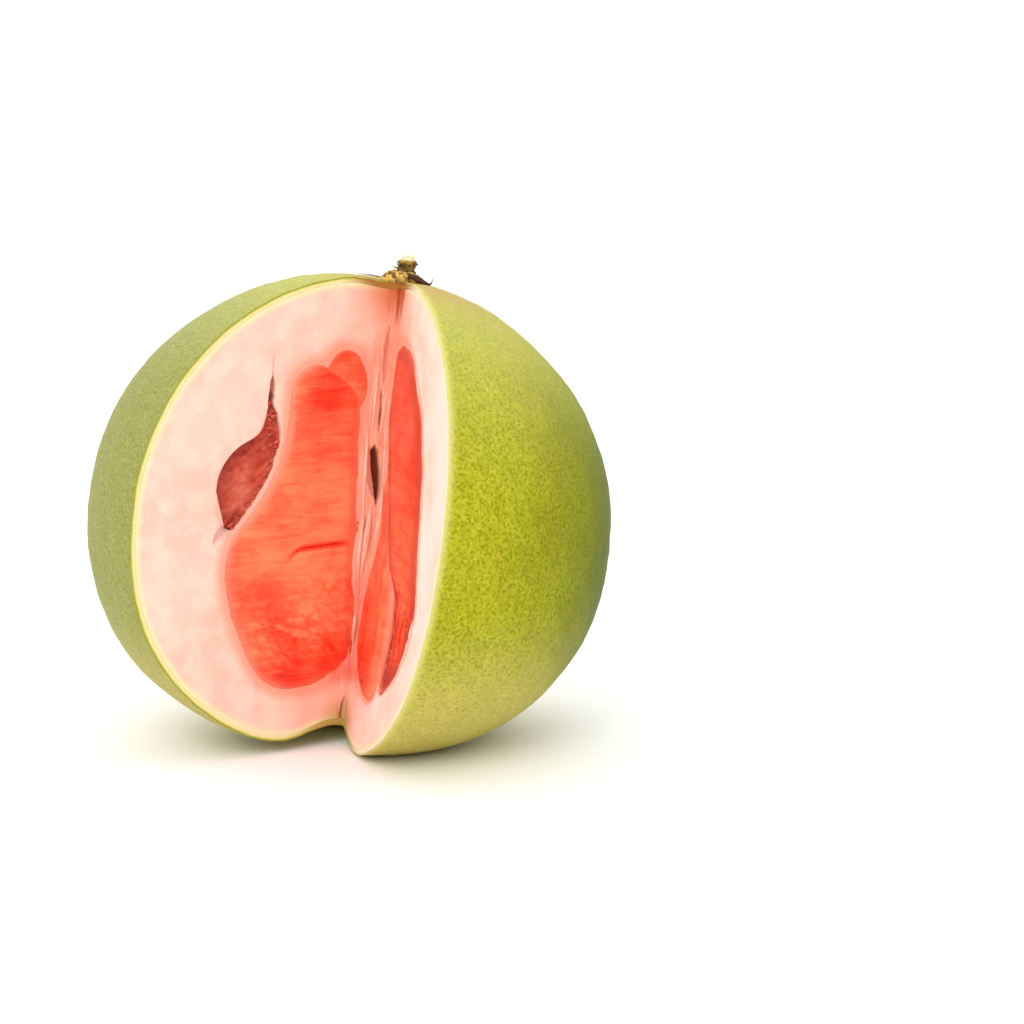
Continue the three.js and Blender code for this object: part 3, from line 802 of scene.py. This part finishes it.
# Grapefruit pulp under its membrane, torn and cut: wet and glossy, saturated where the juice is deep
def pulpMaterial(name, tints, streaks, roughness=0.32, coat=0.2):
    material, tree = newMaterial(name)
    place = addNode(tree, "ShaderNodeTexCoord").outputs["Object"]
    flat = addNode(tree, "ShaderNodeMapping", inputs={"Vector": place, "Scale": streaks}).outputs["Vector"]
    strands = addNode(tree, "ShaderNodeTexNoise", inputs={
        "Vector": flat, "Scale": 1.0, "Detail": 4, "Roughness": 0.62, "Distortion": 0.8}).outputs["Fac"]
    broad = addNode(tree, "ShaderNodeTexNoise", inputs={
        "Vector": place, "Scale": 80, "Detail": 4, "Roughness": 0.6}).outputs["Fac"]
    varied, darkEdge, paleEdge = [
        addNode(tree, "ShaderNodeAttribute", {"attribute_name": name}).outputs["Fac"]
        for name in ("juice", "darkEdge", "paleEdge")]
    for pattern, strength in ((broad, 1.5), (strands, 1.2)):
        varied = addNode(tree, "ShaderNodeMath", {"operation": "MULTIPLY_ADD"},
                         {0: pattern, 1: strength, 2: varied}).outputs[0]
    varied = addNode(tree, "ShaderNodeMapRange", inputs={
        "Value": varied, "From Min": 1.35, "From Max": 2.8}).outputs["Result"]
    colour = addNode(tree, "ShaderNodeValToRGB", {"stops": list(zip((0.0, 0.36, 0.72, 1.0), tints))},
                     {"Fac": varied}).outputs["Color"]
    # outline is painted shade at the lobe's edge; membrane is the membrane's own paler colour
    for share, tint in ((darkEdge, "outline"), (paleEdge, "membrane")):
        colour = addNode(tree, "ShaderNodeMix", {"data_type": "RGBA"},
                         {0: share, 6: colour, 7: linearColour(pulpLook[tint])}).outputs[2]
    relief = addNode(tree, "ShaderNodeMath", {"operation": "ADD"}, {0: strands, 1: broad}).outputs[0]
    bump = addNode(tree, "ShaderNodeBump", inputs={"Strength": 0.3, "Distance": 0.0003, "Height": relief})
    finishMaterial(tree, {"Base Color": colour, "Roughness": roughness, "IOR": 1.38,
                          "Normal": bump.outputs["Normal"], "Subsurface Weight": 0.2,
                          "Subsurface Radius": (0.005, 0.0012, 0.0006), "Subsurface Scale": 1.0,
                          "Coat Weight": coat, "Coat Roughness": 0.2, "Coat IOR": 1.33})
    return material


# Juice sacs bared inside a hollow: thin-skinned beads that lie side by side
def makeSacs(name, face, bands, material, seed):
    draw = random.Random(seed)
    bm = bmesh.new()
    juice = bm.verts.layers.float.new("juice")
    lie = Matrix((face.out, Vector((0, 0, 1)), face.across)).transposed()
    for path, count, scatter, lengths, widths in bands:
        for _ in range(count):
            side, height, rise = smoothRow(path, draw.random())
            length = draw.uniform(*lengths) / 2
            width = draw.uniform(*widths) / 2
            spot = face.spot(side + draw.gauss(0, scatter), height + draw.gauss(0, scatter),
                             rise + draw.uniform(-0.3, 0.3))
            turned = lie @ Matrix.Rotation(draw.uniform(-0.6, 0.6), 3, "X") @ Matrix.Rotation(
                draw.uniform(-0.3, 0.3), 3, "Y")
            shade = draw.uniform(0.35, 0.9)
            for vertex in bmesh.ops.create_uvsphere(bm, u_segments=12, v_segments=9, radius=1)["verts"]:
                taper = width * (1 - 0.25 * vertex.co.z)
                vertex.co = Vector((vertex.co.x * taper, vertex.co.y * taper, vertex.co.z * length))
                vertex.co = turned @ vertex.co + spot
                vertex[juice] = shade
    finishPiece(bm, name, "fruit", material)


# Bands of sacs: side, height and rise along the band, how many, their scatter, lengths and widths
leftSacs = [
    ([(38, 31, -1.0), (36.6, 26.6, -1.2), (37, 22, -1.4), (37.6, 18, -1.8)], 16, 0.9, (1.6, 2.8), (1.0, 1.5)),
    ([(34.2, 22, -1.1), (34.9, 16, -1.3), (36.1, 10.5, -1.4), (38.8, 4.6, -1.5), (42.3, -1.2, -1.5),
      (45, -4.8, -1.4)], 44, 0.3, (1.2, 2.2), (0.8, 1.2)),
    ([(51, 0, -1.6), (49, -2.4, -1.4), (46, -4.8, -1.2)], 9, 0.5, (1.4, 2.6), (0.9, 1.3)),
]
rightSacs = [
    ([(33, -16, -1.6), (36, -24, -2.0), (36, -32, -2.0), (33, -40, -1.8)], 34, 1.8, (3, 6), (0.9, 1.5)),
    ([(45, -16, -1.3), (47, -24, -1.5), (43, -32, -1.7), (38, -38, -1.6)], 22, 2.2, (3, 6), (0.9, 1.4)),
]


# Strands of the core that stand a little proud of the cut: rise, then height, side and half width down each
coreStrands = [
    (leftFace, 0.05, [(27, 5.4, 0.3), (18, 5.2, 0.6), (8, 4.9, 0.5), (0, 4.2, 0.2)]),
    (leftFace, 0.05, [(5, 2.4, 0.2), (-3, 2.0, 1.2), (-10, 1.6, 0.9), (-16, 1.2, 0.2)]),
    (leftFace, 0.1, [(5, 4.4, 0.1), (-3, 4.0, 0.7), (-11, 3.0, 0.6), (-17, 1.9, 0.1)]),
    (leftFace, 0.3, [(-26, 1.3, 0.2), (-29, 1.2, 0.6), (-32, 1.1, 0.6), (-35, 0.9, 0.1)]),
    (leftFace, 0.05, [(46, 5.0, 0.1), (40, 4.6, 0.5), (32, 4.4, 0.5), (24, 4.0, 0.1)]),
    (rightFace, 0.05, [(40, 0.5, 0.2), (28, 0.6, 0.5), (20, 2.2, 0.6), (10, 2.6, 0.7), (0, 2, 0.5),
                       (-8, 1.2, 0.1)]),
    (rightFace, 0.05, [(18, 5.2, 0.1), (10, 4.9, 0.7), (2, 4.4, 0.7), (-6, 3.0, 0.2)]),
]


def makeStrands(name, strands, material):
    bm = bmesh.new()
    turnLayer = bm.verts.layers.float.new("turn")
    for face, rise, path in strands:
        def onStrand(vertex, share):
            height, side, half = smoothRow(path, share)
            half *= math.sqrt(max(0.0, 1 - (2 * share - 1) ** 6)) * 0.9
            side += 0.25 * waves(height / 6, side, 3.0, 2)
            return face.spot(side + half * math.cos(vertex[turnLayer]), height,
                             half * 0.6 * math.sin(vertex[turnLayer]) + rise)

        bmesh.ops.create_circle(bm, cap_ends=False, segments=10, radius=1)
        ring = [vertex for vertex in bm.verts if not vertex.link_faces]
        for vertex in ring:
            vertex[turnLayer] = math.atan2(vertex.co.y, vertex.co.x)
            vertex.co = onStrand(vertex, 0.0)
        loop = [edge for edge in bm.edges if not edge.link_faces]
        growRings(bm, loop, 40, onStrand)
    bmesh.ops.remove_doubles(bm, verts=bm.verts, dist=1e-3)
    bm.verts.layers.float.remove(bm.verts.layers.float["turn"])
    finishPiece(bm, name, "fruit", material)


# Core tissue, split open: pale, stringy and only faintly moist
def coreMaterial():
    material, tree = newMaterial("split fibrous core")
    place = addNode(tree, "ShaderNodeTexCoord").outputs["Object"]
    along = addNode(tree, "ShaderNodeMapping", inputs={
        "Vector": place, "Scale": pithLook["coreFibres"]}).outputs["Vector"]
    fibres = addNode(tree, "ShaderNodeTexNoise", inputs={
        "Vector": along, "Scale": 1.0, "Detail": 3}).outputs["Fac"]
    colour = addNode(tree, "ShaderNodeValToRGB", {
        "stops": [(0.3, pithLook["core"]), (0.62, pithLook["coreLight"])]},
        {"Fac": fibres}).outputs["Color"]
    bump = addNode(tree, "ShaderNodeBump", inputs={"Strength": 0.4, "Distance": 0.0003, "Height": fibres})
    finishMaterial(tree, {
        "Base Color": colour, "Roughness": 0.5, "IOR": 1.4, "Normal": bump.outputs["Normal"],
        "Subsurface Weight": 0.2, "Subsurface Radius": (0.004, 0.0016, 0.001), "Subsurface Scale": 1.0})
    return material


# Stem end: the dried calyx button, its sepals and the snapped stalk.
# Paths hold x, y and height over the skin.
stemEnd = {
    "gold": "#dcb058", "seam": "#6e4c18", "straw": "#a8842c", "bark": "#4e3c12", "withered": "#4e2a18",
    "papery": "#e6d8b0",
    "button": (4.4, 5), "radius": 5.0, "lobes": 5, "lobeDepth": 0.6, "granule": 1.3, "granuleHeight": 0.55,
    "sepals": [  # path, half width, half thickness, taper and how dark, the dried brown with painted shade
        ([(2.2, 2.4, 1.0), (5, 2.2, 2.0), (8.4, 2.8, 1.6), (11, 3.2, 0.6), (12.6, 3.3, 0.3), (13.5, 3.4, 0.9),
          (13.7, 3.4, 3.0), (13.5, 3.4, 5.8)], 2.3, 2.0, 1.7, 1.0),
        ([(0.5, 4, 0.9), (-3, 4.2, 0.9), (-6, 3.9, 0.7), (-9.4, 3.4, 0.5)], 1.3, 0.3, 0.8, 0.8)],
    "stub": (6.0, 5.6), "stubRadius": 1.9, "stubBase": 2.0, "stubHeight": 5.6,
    "splinters": [
        ([(6.2, 5.6, 3.2), (4.4, 5.5, 3.9), (3.2, 5.5, 5.0), (2.7, 5.4, 7.0)], 1.1, 0.5, 0.8, 0.7),
        ([(6.0, 5.6, 3.4), (4.4, 5.4, 3.7), (2.8, 5.2, 3.9), (1.4, 5.0, 4.3)], 1.4, 0.6, 0.7, 0.5),
        ([(7.0, 5.8, 3.0), (8.0, 5.7, 4.0), (8.3, 5.6, 5.2), (8.2, 5.5, 6.4)], 1.1, 0.4, 0.8, 0.7)],
}
fruitToPlace = Matrix.Scale(0.001, 4) @ Matrix.Translation(fruitMiddle) @ leaning


def crownAt(x, y):  # height of the skin near the stem end, in the fruit's own frame
    radius = math.hypot(x, y)
    depth, width = fruitShape["stemDimple"]
    arch = fruitShape["crownHeight"] * math.sqrt(1 - (radius / fruitShape["girthRadius"]) ** 2)
    return arch - depth * math.exp(-(radius / width) ** 2)


def addBlade(bm, path, halfWidth, halfThickness, taper, withered):  # a sepal or a splinter
    witheredShadeLayer = bm.verts.layers.float["withered"]
    run = Vector(path[-1]) - Vector(path[0])
    across = Vector((run.y, -run.x, 0)).normalized()
    for vertex in bmesh.ops.create_uvsphere(bm, u_segments=16, v_segments=48, radius=1)["verts"]:
        share = math.acos(max(-1.0, min(1.0, vertex.co.z))) / math.pi
        before, ahead = [Vector((px, py, crownAt(px, py) + rise)) for px, py, rise in
                         (smoothRow(path, s) for s in (max(0.0, share - 0.01), min(1.0, share + 0.01)))]
        forward = (ahead - before).normalized()
        upward = across.cross(forward)
        size = min(1.0, share / 0.12) ** 0.5 * max(0.0, 1 - share) ** taper
        crumple = 1 + 0.35 * waves(before.x / 1.2, before.z / 1.2, 3 * vertex.co.x + vertex.co.y, 2)
        here = (before + ahead) / 2
        section = across * vertex.co.x * halfWidth + upward * vertex.co.y * halfThickness
        vertex.co = here + section * size * crumple
        vertex[witheredShadeLayer] = withered


def makeCalyx(material):
    x, y = stemEnd["button"]
    bm = bmesh.new()
    aroundLayer, seamLayer, _ = [bm.verts.layers.float.new(name) for name in ("around", "seam", "withered")]
    bmesh.ops.create_circle(bm, cap_ends=True, segments=110, radius=1)
    profile = [(0.86, -0.4), (0.96, 0.1), (1.0, 0.7), (0.97, 1.4), (0.9, 2.0), (0.76, 2.5), (0.6, 2.8),
               (0.42, 2.9), (0.24, 2.8), (0.08, 2.6)]

    def onButton(vertex, share):
        scale, rise = smoothRow(profile, share)
        angle = vertex[aroundLayer]
        outline = stemEnd["radius"] + stemEnd["lobeDepth"] * math.cos(stemEnd["lobes"] * angle + 0.6)
        ragged = 0.5 * waves(3 * math.cos(angle), 3 * math.sin(angle), 2.0) * scale
        reach = (outline + ragged) * scale
        spot = Vector((x + reach * math.cos(angle), y + reach * math.sin(angle), 0))
        granule = waves(*((spot + Vector((0, 0, rise))) / stemEnd["granule"]), 2)
        vertex[seamLayer] = smoothStep(0.05, -0.3, granule)
        lumps = stemEnd["granuleHeight"] * granule * smoothStep(0.05, 0.2, share)
        spot += Vector((math.cos(angle), math.sin(angle), 0)) * lumps * (1 - share)
        spot.z = crownAt(spot.x, spot.y) + rise + lumps
        return spot

    for vertex in bm.verts:
        vertex[aroundLayer] = math.atan2(vertex.co.y, vertex.co.x)
        vertex.co = onButton(vertex, 0)
    loop = growRings(bm, [edge for edge in bm.edges if edge.is_boundary], 34, onButton)
    bmesh.ops.contextual_create(bm, geom=loop)
    knife = knifeInFruit.to_3x3()
    bmesh.ops.bisect_plane(bm, geom=bm.verts[:] + bm.edges[:] + bm.faces[:], clear_outer=True,
                           plane_co=knifeInFruit.translation, plane_no=knife @ leftFace.out)
    bm.edges.sort(key=lambda edge: edge.verts[0].co.z + edge.verts[1].co.z)  # so every run fills it alike
    bmesh.ops.contextual_create(bm, geom=[edge for edge in bm.edges if edge.is_boundary])
    for sepal in stemEnd["sepals"]:
        addBlade(bm, *sepal)
    finishPiece(bm, "calyx_button", "calyx", material, fruitToPlace)


def makeStub(material):
    x, y = stemEnd["stub"]
    base = crownAt(x, y) + stemEnd["stubBase"]
    bm = bmesh.new()
    aroundLayer, witheredShadeLayer, seamLayer, paperyLayer = [
        bm.verts.layers.float.new(name) for name in ("around", "withered", "seam", "papery")]
    bmesh.ops.create_circle(bm, cap_ends=True, segments=64, radius=1)
    profile = [(1.3, 0), (1.2, 0.14), (1.08, 0.28), (1.04, 0.4), (1.14, 0.52), (1.16, 0.64), (1.04, 0.76),
               (0.96, 0.86), (0.72, 0.96), (0.4, 1.0), (0.06, 1.0)]

    def onStub(vertex, share):
        scale, rise = smoothRow(profile, share)
        angle = vertex[aroundLayer]
        around = Vector((math.cos(angle), math.sin(angle), 0))
        grain = 1 + 0.1 * math.cos(2 * angle - 0.5) + 0.2 * waves(2 * around.x, 2 * around.y, rise * 4)
        granule = waves(*(around * 1.6 + Vector((0, 0, 4 * rise))), 3)
        reach = stemEnd["stubRadius"] * scale * grain + 0.3 * granule
        vertex[seamLayer] = smoothStep(0.05, -0.3, granule)
        vertex[paperyLayer] = smoothStep(0.68, 0.8, rise)
        # the stub's lower part is darker: dried brown and painted shade at its foot
        vertex[witheredShadeLayer] = 0.6 * smoothStep(0.66, 0.5, rise)
        snapped = 0.5 * waves(*(around * reach), 3) * smoothStep(0.5, 0.9, share)
        return Vector((x, y, base + stemEnd["stubHeight"] * rise + snapped)) + around * reach

    for vertex in bm.verts:
        vertex[aroundLayer] = math.atan2(vertex.co.y, vertex.co.x)
        vertex.co = onStub(vertex, 0)
    loop = growRings(bm, [edge for edge in bm.edges if edge.is_boundary], 44, onStub)
    bmesh.ops.contextual_create(bm, geom=loop)
    for splinter in stemEnd["splinters"]:
        addBlade(bm, *splinter)
    finishPiece(bm, "stalk_stub", "stem_stub", material, fruitToPlace)


# Calyx and stalk, dried on the fruit: matt and brittle, golden where it was green and dark at the edges, with
# a dark tint that is partly dried brown and partly painted shade
def driedMaterial(name, light, dark, roughness):
    material, tree = newMaterial(name)
    place = addNode(tree, "ShaderNodeTexCoord").outputs["Object"]
    patches = addNode(tree, "ShaderNodeTexNoise", inputs={"Vector": place, "Scale": 480, "Detail": 4})
    colour = addNode(tree, "ShaderNodeValToRGB", {"stops": [(0.34, dark), (0.52, light)]},
                     {"Fac": patches.outputs["Fac"]}).outputs["Color"]
    for attribute, tint in (("seam", dark), ("withered", stemEnd["withered"]), ("papery", stemEnd["papery"])):
        share = addNode(tree, "ShaderNodeAttribute", {"attribute_name": attribute}).outputs["Fac"]
        colour = addNode(tree, "ShaderNodeMix", {"data_type": "RGBA"},
                         {0: share, 6: colour, 7: linearColour(tint)}).outputs[2]
    grain = addNode(tree, "ShaderNodeTexNoise", inputs={"Vector": place, "Scale": 1500, "Detail": 2})
    bump = addNode(tree, "ShaderNodeBump", inputs={"Strength": 0.5, "Distance": 0.0002,
                                                   "Height": grain.outputs["Fac"]})
    finishMaterial(tree, {"Base Color": colour, "Roughness": roughness, "IOR": 1.45,
                          "Normal": bump.outputs["Normal"]})
    return material


makeRind(rindMaterial())
makePith(pithMaterial())
wetPulp = pulpMaterial("wet grapefruit pulp", pulpLook["wet"], pulpLook["longStreaks"])
shadedDuskyPulp = pulpMaterial("bared pulp painted in shade", pulpLook["shadedDusky"], pulpLook["shortStreaks"], roughness=0.4)
for name, lobe in pulpLobes.items():
    finishPiece(pulpLobe(lobe), name, "fruit", shadedDuskyPulp if name == "hollow_pulp" else wetPulp)
makeSacs("left_juice_sacs", leftFace, leftSacs, shadedDuskyPulp, seed=4)
baredPulp = pulpMaterial("bared juice sacs", pulpLook["bared"], pulpLook["longStreaks"],
                         roughness=0.35, coat=0.25)
makeSacs("right_juice_sacs", rightFace, rightSacs, baredPulp, seed=7)
makeStrands("core_strands", coreStrands, coreMaterial())
makeCalyx(driedMaterial("sun-dried calyx", stemEnd["gold"], stemEnd["seam"], roughness=0.8))
makeStub(driedMaterial("snapped dry stalk", stemEnd["straw"], stemEnd["bark"], roughness=0.85))


stageLook = {
    "distance": 1.0, "elevation": 10, "lens": 123.75, "aside": 45.84, "above": 2.11,  # metres, degrees, mm
    "horizon": 0.3, "zenith": 1.55, "rightward": 0.12, "backStrength": 0.9,  # brightness
    "darkest": 0.02, "backdrop": 1.05,
    "backlight": (-0.45, 0.75, 0.48), "backReach": 0.6,  # towards the dome's brightest part, and its edge
    "key": (-0.4, -1.5, 1.0), "keySize": 1.0, "keyPower": 12.5,  # metres and watts
    "paper": "#fafaf8",
}


def makeFloor():
    bm = bmesh.new()
    bmesh.ops.create_grid(bm, x_segments=8, y_segments=8, size=6)
    mesh = bpy.data.meshes.new("floor")
    bm.to_mesh(mesh)
    bm.free()
    material, tree = newMaterial("matt white paper")
    finishMaterial(tree, {"Base Color": linearColour(stageLook["paper"]), "Roughness": 0.9})
    mesh.materials.append(material)
    floor = bpy.data.objects.new("floor", mesh)
    bpy.context.scene.collection.objects.link(floor)


def addLight(name, place, size, power):
    light = bpy.data.lights.new(name, "AREA")
    light.shape = "SQUARE"
    light.size = size
    light.energy = power
    lamp = bpy.data.objects.new(name, light)
    lamp.location = place
    lamp.rotation_euler = (fruitMiddle / 1000 - Vector(place)).to_track_quat("-Z", "Y").to_euler()
    bpy.context.scene.collection.objects.link(lamp)


def makeWorld():  # a bright dome over a dimmer horizon, and plain white behind the fruit
    world = bpy.data.worlds.new("white studio")
    world.use_nodes = True
    tree = world.node_tree
    tree.nodes.clear()
    direction = addNode(tree, "ShaderNodeTexCoord").outputs["Generated"]
    parts = addNode(tree, "ShaderNodeSeparateXYZ", inputs={"Vector": direction})
    dome = addNode(tree, "ShaderNodeMapRange", inputs={
        "Value": parts.outputs["Z"], "To Min": stageLook["horizon"],
        "To Max": stageLook["zenith"]}).outputs["Result"]
    behind = addNode(tree, "ShaderNodeVectorMath", {"operation": "DOT_PRODUCT"},
                     {0: direction, 1: stageLook["backlight"]}).outputs["Value"]
    behind = addNode(tree, "ShaderNodeMapRange", inputs={
        "Value": behind, "From Min": stageLook["backReach"],
        "To Max": stageLook["backStrength"]}).outputs["Result"]
    dome = addNode(tree, "ShaderNodeMath", {"operation": "ADD"}, {0: dome, 1: behind}).outputs[0]
    dome = addNode(tree, "ShaderNodeMath", {"operation": "MULTIPLY_ADD"},
                   {0: parts.outputs["X"], 1: stageLook["rightward"], 2: dome}).outputs[0]
    dome = addNode(tree, "ShaderNodeMath", {"operation": "MAXIMUM"},
                   {0: dome, 1: stageLook["darkest"]}).outputs[0]
    seen = addNode(tree, "ShaderNodeLightPath").outputs["Is Camera Ray"]
    strength = addNode(tree, "ShaderNodeMix", {"data_type": "FLOAT"},
                       {0: seen, 2: dome, 3: stageLook["backdrop"]}).outputs[0]
    shader = addNode(tree, "ShaderNodeBackground", inputs={"Color": (1, 1, 1, 1), "Strength": strength})
    addNode(tree, "ShaderNodeOutputWorld", inputs={"Surface": shader.outputs["Background"]})
    bpy.context.scene.world = world


def makeCamera():
    camera = bpy.data.cameras.new("camera")
    camera.lens = stageLook["lens"]
    camera.sensor_width = 36
    camera.clip_end = 50
    holder = bpy.data.objects.new("camera", camera)
    aim = (fruitMiddle + Vector((stageLook["aside"], 0, stageLook["above"]))) / 1000
    tilt = math.radians(stageLook["elevation"])
    holder.location = aim + stageLook["distance"] * Vector((0, -math.cos(tilt), math.sin(tilt)))
    holder.rotation_euler = (math.pi / 2 - tilt, 0, 0)
    bpy.context.scene.collection.objects.link(holder)
    bpy.context.scene.camera = holder


makeFloor()
addLight("key softbox", stageLook["key"], stageLook["keySize"], stageLook["keyPower"])
makeWorld()
makeCamera()
bpy.context.scene.view_settings.view_transform = "Standard"
print("stage ready")
